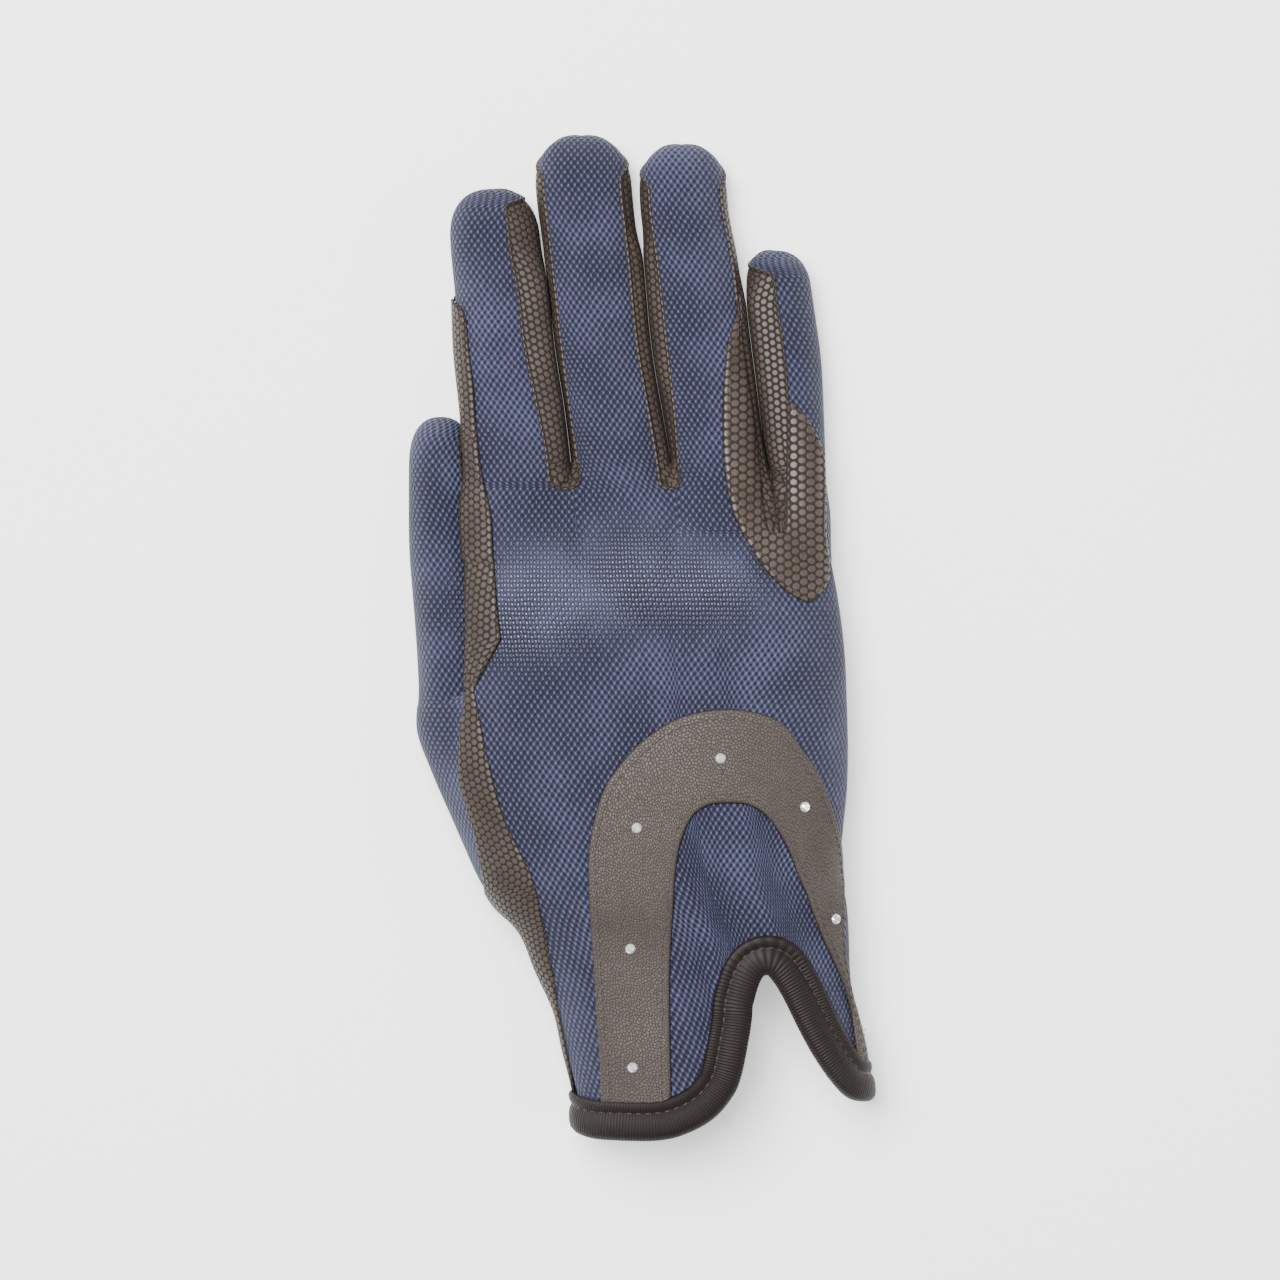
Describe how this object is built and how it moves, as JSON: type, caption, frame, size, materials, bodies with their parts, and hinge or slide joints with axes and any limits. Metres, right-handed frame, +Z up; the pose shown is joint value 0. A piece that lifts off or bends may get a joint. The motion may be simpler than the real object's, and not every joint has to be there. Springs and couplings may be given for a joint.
{
  "type": "horse riding glove",
  "caption": "Right-hand riding glove of stretch mesh and grip leather, open at the cuff, with an applied leather horseshoe and small stones on the back.",
  "frame": {"origin": "on the ground under the middle of the palm, on the palm's flat underside", "axes": "+Y towards the fingertips, +Z up out of the back of the hand, +X towards the little finger"},
  "size_m": [0.1074, 0.2294, 0.0329],
  "materials": {
    "navy_mesh": "stretch mesh with small staggered holes",
    "grip_leather": "synthetic leather embossed with small hexagonal cells",
    "smooth_leather": "fine-grained matt synthetic leather",
    "binding_tape": "ribbed elastic tape",
    "crystal": "faceted foil-backed glass"
  },
  "bodies": {
    "root": {"back_panel": "navy_mesh", "palm_panel": "grip_leather", "index_strip": "grip_leather", "side_strip": "grip_leather", "fourchette_index_middle": "grip_leather", "fourchette_middle_ring": "grip_leather", "fourchette_ring_little": "grip_leather", "thumb_back": "navy_mesh", "thumb_front": "grip_leather", "rein_patch": "grip_leather", "horseshoe": "smooth_leather", "crystal_1": "crystal", "crystal_2": "crystal", "crystal_3": "crystal", "crystal_4": "crystal", "crystal_5": "crystal", "crystal_6": "crystal", "crystal_7": "crystal", "cuff_binding_back": "binding_tape", "cuff_binding_palm": "binding_tape"}
  },
  "joints": []
}
